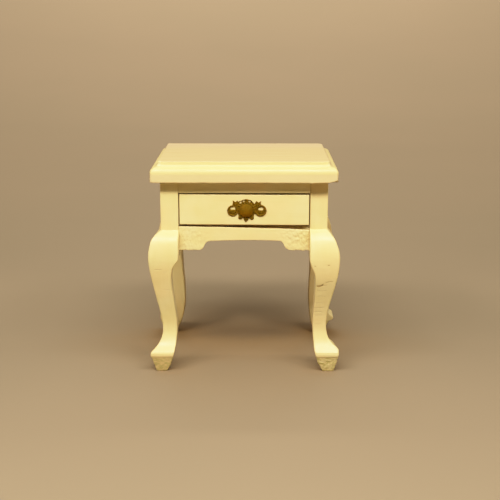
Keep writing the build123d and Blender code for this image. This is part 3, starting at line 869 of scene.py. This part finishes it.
def board(along, half, section, step, up):
    """A board lofted from -half to half on the along axis.  section(place) gives its span
    in thickness, its span in z and its corner radii."""
    count = int(round(2 * half / step))
    stations = list(np.linspace(-half, half, count + 1))
    for part in (0.3, 1.0):
        stations += [-half + END_ROUND * part, half - END_ROUND * part]
    loft = Loft(8, up)
    for place in sorted({round(station, 5) for station in stations}):
        thick, height, radii = section(place)
        near = min(1.0, (half - abs(place)) / END_ROUND)
        inset = END_ROUND * (1 - math.sqrt(max(0.0, 1 - (1 - near) ** 2)))
        loop = loft.loop(*span(*thick, -inset), *span(*height, -inset), radii)
        if along == "x":
            loft.ring(place, loop[:, 0], loop[:, 1])
        else:
            loft.ring(loop[:, 0], place, loop[:, 1])
    return loft.closed()


def tenon_reach(inner, side):
    return span(side * (inner - 0.4), side * (inner + TENON))


def wobble(broad, fine, seed, size):
    """Slight unevenness of the given heights, broad waves being size mm long."""
    def shape(points, normals):
        relief = (fbm(points, size, octaves=2, seed=seed) * broad
                  + fbm(points, 1.5, octaves=3, seed=seed + 4) * fine)
        return points + normals * relief[:, None]
    return shape


def scroll(bracket, run):
    """The lower edge as z against distance from the middle: arch, S-curve, bracket."""
    inner = bracket - run
    curve = spline([(inner, ARCH_Z - 0.24), (inner + run * 0.30, 39.08),
                    (inner + run * 0.52, 37.95), (inner + run * 0.74, 37.00),
                    (bracket, APRON_Z0)], (1.0, -0.12), (1.0, -0.03), steps=14)
    arch = np.linspace(0, 1, 40, endpoint=False)
    places = np.concatenate([inner * arch, curve[:, 0]])
    heights = np.concatenate([ARCH_Z - 0.24 * arch ** 2, curve[:, 1]])
    return lambda place: float(np.interp(abs(place), places, heights))


front_edge = scroll(13.25, 3.25)
side_edge = scroll(8.6, 2.9)


def apron_top(x):
    """Height of the apron's top edge at its face, planed out of level."""
    return APRON_TOP_Z - np.interp(x, PLANED_X, PLANED_DROP)


def apron_back(x):
    """How far the apron's face runs back to meet the planed right post."""
    return 0.95 * np.clip((x + INNER_X) / (2 * INNER_X), 0, 1) ** 1.7


def apron_section(x):
    ripple = 0.06 * math.sin(x * 1.7) + 0.05 * math.sin(x * 4.3)
    low = (front_edge(x) + ripple * float(smooth(12.5, 14.0, abs(x)))
           - 0.22 * float(smooth(10.0, 17.0, x)))
    return ((BOARD_FRONT + float(apron_back(x)), BOARD_BACK), (low, float(apron_top(x))),
            (0.20, 0.12, 0.10, 0.26))


def shape_apron(points, normals):
    x, y, z = points.T
    set_back, top = apron_back(x), apron_top(x)
    lumps = (np.where(x > 0, 0.12, 0.085) * smooth(8.5, 15.0, abs(x))
             * smooth(0.0, -0.6, z - top))
    relief = (fbm(points, 5.0, octaves=2, seed=15) * 0.03
              + fbm(points, 0.85, octaves=3, seed=16) * (0.012 + lumps))
    shaped = points + normals * relief[:, None]
    # the top edge slopes: planed low at the face, left high behind
    behind = smooth(0.0, 1.0, (y - BOARD_FRONT - set_back) / (RAIL_T - set_back))
    shaped[:, 2] += (APRON_TOP_Z - top) * behind * smooth(-0.9, -0.1, z - top)
    return shaped


def build_front_board(name, node, section, step, up, material, shape, tenon_z):
    ob = make(name, *board("x", INNER_X, section, step, up), "frame", "cream_paint", node,
              material, shape=shape)
    join_boxes(ob, [(tenon_reach(INNER_X, side), front_tenon(side), tenon_z)
                    for side in (-1, 1)], "UNION")


def build_side_panel(name, side):
    thick = span(side * (POST_X - SET_BACK), side * (POST_X - SET_BACK - PANEL_T))
    mesh = board("y", INNER_Y, lambda y: (thick, (side_edge(y), TOP_Z0), 0.16), 0.19, 40)
    ob = make(name + "_painted", *mesh, "frame", "cream_paint", name, PAINT_Y,
              shape=wobble(0.03, 0.014, seed=25 + side, size=5.0))
    join_boxes(ob, [(panel_tenon(side * SIDE_MID), tenon_reach(INNER_Y, end), PANEL_TENON)
                    for end in (-1, 1)], "UNION")


def build_back_panel():
    thick = (POST_Y - SET_BACK - PANEL_T, POST_Y - SET_BACK)
    mesh = board("x", INNER_X, lambda x: (thick, (APRON_Z0, TOP_Z0), 0.14), 0.35, 40)
    ob = make("back_panel_painted", *mesh, "frame", "cream_paint", "back_panel", PAINT_X,
              shape=wobble(0.03, 0.012, seed=33, size=6.0))
    join_boxes(ob, [(tenon_reach(INNER_X, side), panel_tenon(BACK_MID), PANEL_TENON)
                    for side in (-1, 1)], "UNION")


build_front_board(
    "front_top_rail_painted", "front_top_rail",
    lambda x: ((BOARD_FRONT, BOARD_BACK), (RAIL_Z0, TOP_Z0), (0.24, 0.08, 0.05, 0.05)),
    step=0.35, up=12, material=PAINT_X, shape=wobble(0.02, 0.012, seed=5, size=6.0),
    tenon_z=TOP_TENON)
build_front_board("front_apron_painted", "front_apron", apron_section, step=0.17, up=26,
                  material=PAINT_APRON, shape=shape_apron, tenon_z=APRON_TENON)
build_side_panel("left_side_panel", -1)
build_side_panel("right_side_panel", 1)
build_back_panel()

# ------------------------------------------------------------ drawer front --
DRAWER_Z0, DRAWER_Z1, DRAWER_HALF = 44.25, 53.15, 18.8
DRAWER_INNER = 18.7 - 1.5               # inner faces of the drawer's sides
FACE_Y, FRONT_T, FACE_ROUND = -POST_Y, 2.2, 0.24
GROOVE_Z = (45.0, 46.0)                 # the groove for the drawer bottom
# How high the front was glued on, out of level: x, and the lift there.
LIFT_X = (-18.8, -12.0, -6.0, 1.0, 7.0, 12.0)
LIFT = (0.19, 0.13, 0.11, 0.09, 0.03, 0.0)


def drawer_front_mesh():
    """The front, stepped in behind to fit between the drawer's sides."""
    back = FACE_Y + FRONT_T
    rings = [(FACE_ROUND * (1 - math.sin(turn)), FACE_Y + FACE_ROUND * (1 - math.cos(turn)),
              DRAWER_HALF) for turn in np.linspace(0, math.pi / 2, 6)]
    rings += [(0, y, DRAWER_HALF) for y in (-17.3, -17.0, -16.7, -16.63)]
    rings += [(0.03, -16.6, DRAWER_HALF), (0.03, -16.6, DRAWER_INNER - 0.02)]
    rings += [(0, y, DRAWER_INNER - 0.05) for y in (-16.57, -16.1, -15.65)]
    rings += [(0.05, back, DRAWER_INNER - 0.05)]
    loft = Loft(100, 26)
    for inset, y, half in rings:
        loop = loft.loop(-half + inset, half - inset, DRAWER_Z0 + inset, DRAWER_Z1 - inset,
                         0.16)
        loft.ring(loop[:, 0], y, loop[:, 1])
    return loft.closed()


def shape_drawer_front(points, normals):
    x, y, z = points.T
    shaped = points.copy()
    relief = (fbm(points, 6.0, octaves=2, seed=61) * 0.016
              + fbm(points, 1.8, octaves=2, seed=62) * 0.006 * smooth(-17.4, -17.7, y))
    shaped += normals * (relief * smooth(-16.6, -16.9, y))[:, None]
    shaped[:, 2] += np.interp(x, LIFT_X, LIFT) * smooth(-16.7, -17.3, y)
    return shaped


drawer_front = make("drawer_front_painted", *drawer_front_mesh(), "drawer", "cream_paint",
                    "drawer_front", PAINT_DRAWER, shape=shape_drawer_front)
join_boxes(drawer_front, [((-DRAWER_INNER - 0.3, DRAWER_INNER + 0.3),
                           (FACE_Y + FRONT_T - 0.6, -15.0), GROOVE_Z)], "DIFFERENCE")

# ---------------------------------------------------------- carried-over CAD
for node, material in (
    ("drawer_left_side", WOOD_Y), ("drawer_right_side", WOOD_Y),
    ("drawer_back", WOOD_X), ("drawer_bottom", WOOD_X),
    ("left_drawer_runner", WOOD_RUNNER), ("right_drawer_runner", WOOD_RUNNER),
    ("left_kicker_strip", WOOD_RUNNER), ("right_kicker_strip", WOOD_RUNNER),
):
    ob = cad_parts[node]
    wear(ob, material)
    weld = ob.modifiers.new("weld", "WELD")
    weld.merge_threshold = 1e-6
    bevel = ob.modifiers.new("eased", "BEVEL")
    bevel.width, bevel.segments = 0.08 * MM, 2
    bevel.limit_method, bevel.angle_limit = "ANGLE", math.radians(50)
    bevel.use_clamp_overlap = True

# ------------------------------------------------------------ the brass pull
# The pull has its own x (right), y (up) and height (out of the drawer front), and hangs
# a little tilted.
PULL_TILT = math.radians(1.8)
PULL_RIGHT = np.array([math.cos(PULL_TILT), 0, -math.sin(PULL_TILT)])
PULL_UP = np.array([math.sin(PULL_TILT), 0, math.cos(PULL_TILT)])
PULL_OUT = np.array([0.0, -1.0, 0.0])
PULL_ORIGIN = np.array([0.6, -POST_Y, 48.65])

# The round ends, each with a pierced eye: x, y, radius, radius of the raised rim, height
# of the eye's sill over y, and the crest's shift in x and y.
EYES = ((-3.93, -0.24, 1.63, 1.37, 0.40, 0.0, 0.0), (4.12, 0.05, 1.74, 1.46, 0.19, 0.20, 0.06))
LOBES = ((-1.70, -2.12, 0.60), (0.0, -2.50, 0.70), (1.66, -2.12, 0.60))    # x, y, radius
# Oval piercings: x, y, half length, half width, turn in degrees.
HOLES = ((-1.74, 2.28, 0.38, 0.26, 50), (-0.83, 2.68, 0.40, 0.22, 18),
         (0.82, 2.68, 0.38, 0.21, -15))
DIMPLE_X, DIMPLE_Y, DIMPLE_R = 1.78, 2.20, 0.20
PLATE_T, PLATE_ROUND, PLATE_STEP = 0.24, 0.16, 0.055


def on_pull(x, y, height):
    return PULL_ORIGIN + x * PULL_RIGHT + y * PULL_UP + height * PULL_OUT


def segment_distance(x, y, start, end):
    run, rise = end[0] - start[0], end[1] - start[1]
    part = ((x - start[0]) * run + (y - start[1]) * rise) / (run * run + rise * rise)
    part = np.clip(part, 0, 1)
    return np.hypot(x - start[0] - part * run, y - start[1] - part * rise)


def polygon_distance(x, y, corners):
    """Signed distance to a polygon, negative inside."""
    corners = np.array(corners, float)
    distance = np.full(x.shape, 1e9)
    inside = np.zeros(x.shape, bool)
    for start, end in zip(corners, np.roll(corners, -1, axis=0)):
        distance = np.minimum(distance, segment_distance(x, y, start, end))
        run, rise = end - start
        inside ^= (((start[1] > y) != (end[1] > y))
                   & (x < run * (y - start[1]) / (rise or 1e-12) + start[0]))
    return np.where(inside, -distance, distance)


def blend(first, second, reach):
    """The union of two signed distances, with a fillet about reach wide."""
    part = np.clip(0.5 + 0.5 * (second - first) / reach, 0, 1)
    return second * (1 - part) + first * part - reach * part * (1 - part)


def plate_distance(x, y):
    """Signed distance to the plate's outline and piercings, negative in the brass."""
    angle = np.arctan2(y - 0.78, x)
    scallop = 0.10 * np.abs(np.cos(angle * 6.0)) * smooth(0.1, 0.5, np.sin(angle))
    fan = np.hypot(x, y - 0.78) - (2.47 + scallop)
    body = polygon_distance(x, y, [(-2.40, 0.8), (-2.28, -1.3), (-1.95, -2.22),
                                   (1.95, -2.22), (2.28, -1.3), (2.40, 0.8)]) - 0.02
    plate = blend(fan, body, 0.12)
    # the fan is a little full at the left
    plate = blend(plate, np.hypot(x + 1.82, y - 2.12) - 0.62, 0.15)
    for lobe_x, lobe_y, radius in LOBES:
        plate = blend(plate, np.hypot(x - lobe_x, y - lobe_y) - radius, 0.05)
    point = polygon_distance(x, y, [(-0.45, -2.8), (0.45, -2.8), (0.0, -3.48)]) - 0.03
    plate = blend(plate, point, 0.06)
    for eye_x, eye_y, radius, _, _, shift_x, shift_y in EYES:
        plate = blend(plate, np.hypot(x - eye_x, y - eye_y) - radius, 0.10)
        side = np.sign(eye_x)
        crest = [(2.05, 0.6), (2.30, 1.9), (2.62 + shift_x, 2.80 + shift_y),
                 (3.28 + shift_x, 2.34 + shift_y), (4.0 + shift_x, 2.84 + shift_y),
                 (3.92 + shift_x, 2.14 + shift_y), (4.15 + shift_x, 1.2)]
        bridge = [(1.8, 1.1), (3.3, 0.9), (3.3, -1.1), (1.8, -0.9)]
        for corners, grow in ((crest, 0.01), (bridge, 0.0)):
            corners = np.array(corners) * (side, 1)
            plate = blend(plate, polygon_distance(x, y, corners) - grow, 0.10)
    # pierced eyes: flat below, arched above
    for eye_x, eye_y, _, _, sill, _, _ in EYES:
        arch = [(-0.60, 0.0), (0.68, 0.0), (0.70, 0.52), (0.48, 0.78), (-0.34, 0.66),
                (-0.62, 0.42)]
        eye = polygon_distance(x, y, np.array(arch) + (eye_x, eye_y + sill)) - 0.05
        plate = np.maximum(plate, -eye)
    for hole_x, hole_y, length, width, turn in HOLES:
        cos, sin = math.cos(math.radians(turn)), math.sin(math.radians(turn))
        along = (x - hole_x) * cos + (y - hole_y) * sin
        across = -(x - hole_x) * sin + (y - hole_y) * cos
        oval = np.sqrt((along / length) ** 2 + (across / width) ** 2) - 1
        plate = np.maximum(plate, -oval * min(length, width))
    return plate


def plate_height(x, y):
    """Height of the stamped face over the drawer front."""
    height = np.full(x.shape, PLATE_T)
    # ribs of the fan, and a bead round the knob's seat
    angle = np.arctan2(y - 0.5, x)
    fan = (smooth(1.85, 2.15, np.hypot(x, y - 0.5)) * smooth(-0.15, 0.35, np.sin(angle))
           * smooth(2.75, 2.35, np.abs(x)))
    height += fan * 0.085 * np.cos(angle * 18.0)
    height += 0.10 * np.exp(-((np.hypot(x, y) - 2.12) / 0.10) ** 2)
    # radiating leaves under the knob
    low = smooth(-0.9, -1.5, y) * smooth(2.6, 2.0, np.abs(x))
    height += low * 0.06 * np.cos(np.arctan2(x, -y) * 14.0)
    for lobe_x, lobe_y, radius in LOBES:
        part = np.hypot(x - lobe_x, y - lobe_y) / radius
        height += 0.13 * np.sqrt(np.clip(1 - (part / 0.85) ** 2, 0, 1))
        height -= 0.05 * np.exp(-((part - 0.95) / 0.12) ** 2)
    for eye_x, eye_y, _, rim, sill, _, _ in EYES:
        off_x, off_y = x - eye_x, y - eye_y
        away = np.hypot(off_x, off_y)
        height += 0.09 * np.exp(-((away - rim) / 0.16) ** 2)      # raised rim
        height -= 0.06 * np.exp(-((away - 1.02) / 0.12) ** 2)
        # curled leaf below the opening, with veins
        leaf = smooth(1.05, 0.80, away) * smooth(0.22, 0.0, off_y)
        curl = 0.10 * np.sqrt(np.clip(1 - ((off_y + 0.42) / 0.62) ** 2, 0, 1))
        height += leaf * (curl + 0.035 * np.cos(off_x * 11.0 + off_y * 6.0))
        # lip under the opening
        height += (0.09 * np.exp(-((off_y - (sill - 0.02)) / 0.07) ** 2)
                   * smooth(0.85, 0.7, np.abs(off_x)))
        # a ridge up each point of the crest
        side = np.sign(eye_x)
        for tip_x, tip_y in ((2.66, 2.95), (3.95, 2.98)):
            ridge = segment_distance(x, y, (side * 3.15, 1.25), (side * tip_x, tip_y + eye_y))
            height += 0.10 * np.exp(-(ridge / 0.13) ** 2) * smooth(1.3, 1.6, y)
    # fine stamped matting between the ridges
    height += 0.040 * np.cos(x * 11.0 + 3.0 * y) * np.cos(y * 11.0 - 2.0 * x)
    height -= 0.22 * np.exp(-(np.hypot(x - DIMPLE_X, y - DIMPLE_Y) / DIMPLE_R) ** 2)
    # turned-down edges all round, piercings too
    edge = np.clip(-plate_distance(x, y) / PLATE_ROUND, 0, 1)
    grain = fbm(np.column_stack([x, y, 0 * x]), 0.5, octaves=2, seed=77)
    return 0.09 + (height - 0.09) * np.sqrt(1 - (1 - edge) ** 2) + 0.012 * grain * edge


def plate_mesh():
    """The plate traced on a square grid, its cells clipped where they meet the outline."""
    grid = np.stack(np.meshgrid(np.arange(-5.9, 5.9, PLATE_STEP),
                                np.arange(-3.6, 3.5, PLATE_STEP), indexing="ij"), axis=-1)
    distance = plate_distance(grid[..., 0], grid[..., 1])
    points, faces, ids = [], [], {}

    def corner(key):
        if key not in ids:
            ids[key] = len(points)
            points.append(grid[key])
        return ids[key]

    def crossing(first, second):
        key = near, far = min(first, second), max(first, second)
        if key not in ids:
            part = distance[near] / (distance[near] - distance[far])
            part = min(max(part, 0.02), 0.98)
            ids[key] = len(points)
            points.append(grid[near] + part * (grid[far] - grid[near]))
        return ids[key]

    for i, j in product(range(grid.shape[0] - 1), range(grid.shape[1] - 1)):
        cell = [(i, j), (i + 1, j), (i + 1, j + 1), (i, j + 1)]
        outline = []    # (point, whether it is a crossing)
        for here, there in zip(cell, cell[1:] + cell[:1]):
            if distance[here] < 0:
                outline.append((corner(here), False))
            if (distance[here] < 0) != (distance[there] < 0):
                outline.append((crossing(here, there), True))
        if sum(crossed for _, crossed in outline) == 4:    # two opposite corners: two pieces
            for k, (point, crossed) in enumerate(outline):
                if not crossed:
                    after = outline[(k + 1) % len(outline)][0]
                    faces.append([outline[k - 1][0], point, after])
        elif outline:
            faces.append([point for point, _ in outline])

    count = len(points)
    points = np.array(points)
    x, y = points[:, :1], points[:, 1:]
    height = plate_height(points[:, 0], points[:, 1])[:, None]
    edges = dict.fromkeys(edge for face in faces for edge in zip(face, face[1:] + face[:1]))
    backs = [[i + count for i in reversed(face)] for face in faces]
    walls = [[j, i, i + count, j + count] for i, j in edges if (j, i) not in edges]
    return np.vstack([on_pull(x, y, height), on_pull(x, y, 0.0)]), faces + backs + walls


def knob_mesh():
    """A low dome on a collar, with its pin: (radius, height) from the pin's end outwards."""
    profile = [(0.0, -1.9), (0.34, -1.9), (0.46, -1.78), (0.46, 0.33), (1.76, 0.33),
               (1.89, 0.36), (1.98, 0.42), (2.01, 0.48), (1.98, 0.55), (1.93, 0.585),
               (1.90, 0.60)]
    dome_r, dome_base = profile[-1]
    dome_h = 0.80
    sphere = (dome_r ** 2 + dome_h ** 2) / (2 * dome_h)
    for angle in np.linspace(math.asin(dome_r / sphere), 0, 22)[1:]:
        profile.append((sphere * math.sin(angle),
                        dome_base + dome_h - sphere + sphere * math.cos(angle)))
    return lathe(profile, on_pull)


def shape_knob(points, normals):
    relief = fbm(points, 1.6, octaves=2, seed=88) * 0.012 * (points[:, 1] < -18.3)
    return points + normals * relief[:, None]


make("pull_plate_stamped", *plate_mesh(), "drawer", "antique_brass", "pull_plate",
     BRASS_PLATE, sharp=60)
make("pull_knob_domed", *knob_mesh(), "drawer", "antique_brass", "pull_knob", BRASS_KNOB,
     shape=shape_knob, sharp=50)

# ------------------------------------------------------------------- floor --
scene = bpy.context.scene
PALEST = 1.12    # the tones below are divided by this, to stay under 1 in the colour ramp
# The floor's painted light and shade from front to back: (metres behind the table's middle, how
# pale).
# The dip under the table is a painted shadow; the lighter band behind it and the darkening up
# the cove are painted light falling off.
FLOOR_LIGHT_STOPS = ((-0.0954, 1.05), (-0.0625, 0.99), (-0.035, 0.975), (-0.0191, 0.955),
         (-0.0014, 0.93), (0.0185, 0.955), (0.0409, 1.015), (0.0664, 1.07), (0.0955, 1.055),
         (0.1292, 1.075), (0.1687, 1.105), (0.2155, 1.10), (0.272, 1.07), (0.3416, 0.995),
         (0.4292, 0.900), (0.517, 0.84), (0.6585, 0.785), (0.766, 0.765), (0.856, 0.80))
TONE_SHIFT = 0.10    # metres added so that every stop lies between 0 and 1


def floor_material():
    m = Material("pale_floor")
    mottle = m.noise(9, detail=3.0, roughness=0.5)
    m.colour = m.mix(mottle.ramp(0.3, 0.7),
                     (0.284 * PALEST, 0.224 * PALEST, 0.148 * PALEST),
                     (0.292 * PALEST, 0.228 * PALEST, 0.151 * PALEST))
    band = m.node("ValToRGB", {0: m.xyz(m.position)[1] + TONE_SHIFT})
    stops = band.color_ramp.elements
    for i, (place, pale) in enumerate(FLOOR_LIGHT_STOPS):
        stop = stops[i] if i < 2 else stops.new(1.0)
        stop.position = place + TONE_SHIFT
        stop.color = (pale / PALEST,) * 3 + (1.0,)
    m.cover(1.0, Signal(m, band.outputs[0]), "MULTIPLY")
    # painted shade: the floor is darker and warmer under and round the table, by ambient
    # occlusion
    under = (m.ao(120.0, samples=8).ramp(0.45, 0.96, to=(1.0, 0.0))
             * m.xyz(m.position)[1].ramp(-0.020, 0.012, to=(0.35, 1.0)))
    m.cover(under, m.mix(1.0, m.colour, (0.95, 0.71, 0.40), "MULTIPLY"))
    return m.finish({"Roughness": 0.75, "Specular IOR Level": 0.2})


def build_floor():
    """A plain round cove: a flat floor that turns up gradually into a low wall, metres."""
    profile = [(0.0, 0.0), (0.12, 0.0), (0.25, 0.0), (0.40, 0.0)]
    profile += [(0.40 + 1.1 * part, 0.85 * part ** 2.5) for part in np.linspace(0.04, 1.0, 28)]
    verts, faces = lathe(profile, lambda x, y, z: (x, y, z))
    mesh = bpy.data.meshes.new("floor")
    # wound the other way, so that the faces look up
    mesh.from_pydata(verts, [], [(face[0], *face[:0:-1]) for face in faces])
    for face in mesh.polygons:
        face.use_smooth = True
    floor = bpy.data.objects.new("floor", mesh)
    scene.collection.objects.link(floor)
    wear(floor, floor_material())


build_floor()


# ------------------------------------------------ lights, world and camera --
def area(name, place, target, size, watts, colour, size_y=None):
    light = bpy.data.lights.new(name, "AREA")
    light.shape = "RECTANGLE" if size_y else "SQUARE"
    light.size = size
    if size_y:
        light.size_y = size_y
    light.energy = watts
    light.color = colour
    ob = bpy.data.objects.new(name, light)
    ob.location = place
    ob.rotation_mode = "QUATERNION"
    ob.rotation_quaternion = (Vector(target) - Vector(place)).to_track_quat("-Z", "Y")
    ob.visible_camera = False
    scene.collection.objects.link(ob)


# a soft arc of lamps over the camera, a broad lamp overhead and a wash on the cove
# behind and in front
TABLE = (0, -0.0216, 0.06)
LAMP_WHITE = (1.0, 0.918, 0.797)
for side in (-1, 1):
    area("lamp_front", (side * 0.066, -0.2253, 0.322), TABLE, size=0.16, size_y=0.05,
         watts=0.700, colour=LAMP_WHITE)
    area("lamp_side", (side * 0.193, -0.1837, 0.277), TABLE, size=0.14, size_y=0.05,
         watts=0.495 - 0.07 * side, colour=LAMP_WHITE)
area("lamp_over", (0.0, -0.03, 0.55), (0, 0, 0.03), size=0.34, watts=0.24,
     colour=(1.0, 0.90, 0.70))
area("backdrop_wash", (0.0, 0.60, 0.90), (0, 1.40, 0.20), size=0.6, watts=20.0,
     colour=(1.0, 0.895, 0.755))
area("backdrop_wash_near", (0.0, -0.60, 0.90), (0, -1.40, 0.20), size=0.6, watts=3.2,
     colour=(0.95, 1.0, 0.66))

world = bpy.data.worlds.new("studio")
scene.world = world
world.use_nodes = True
background = world.node_tree.nodes["Background"]
background.inputs["Color"].default_value = (0.90, 1.0, 0.50, 1.0)
background.inputs["Strength"].default_value = 0.02

view = scene.view_settings
view.view_transform = "Standard"
view.look = "None"
view.exposure = 0.0
view.gamma = 1.0
# a soft shoulder, so the brightest paint keeps its shading
SHOULDER = ((0.0, 0.0), (0.175, 0.35), (0.30, 0.585), (0.42, 0.765), (0.62, 0.925), (1.0, 1.0))
view.use_curve_mapping = True
view.curve_mapping.white_level = (2.0, 2.0, 2.0)
combined = view.curve_mapping.curves[3]
while len(combined.points) < len(SHOULDER):
    combined.points.new(0.5, 0.5)
for point, place in zip(combined.points, SHOULDER):
    point.location = place
    point.handle_type = "AUTO_CLAMPED"
view.curve_mapping.update()

camera_data = bpy.data.cameras.new("camera")
camera_data.sensor_width = 36.0
camera_data.lens = 73.0656
camera_data.clip_start, camera_data.clip_end = 0.01, 20.0
camera = bpy.data.objects.new("camera", camera_data)
camera.location = (0.0031, -0.30577, 0.10891)
camera.rotation_euler = (math.radians(90 - 14.056), 0.0, math.radians(0.284))
scene.collection.objects.link(camera)
scene.camera = camera
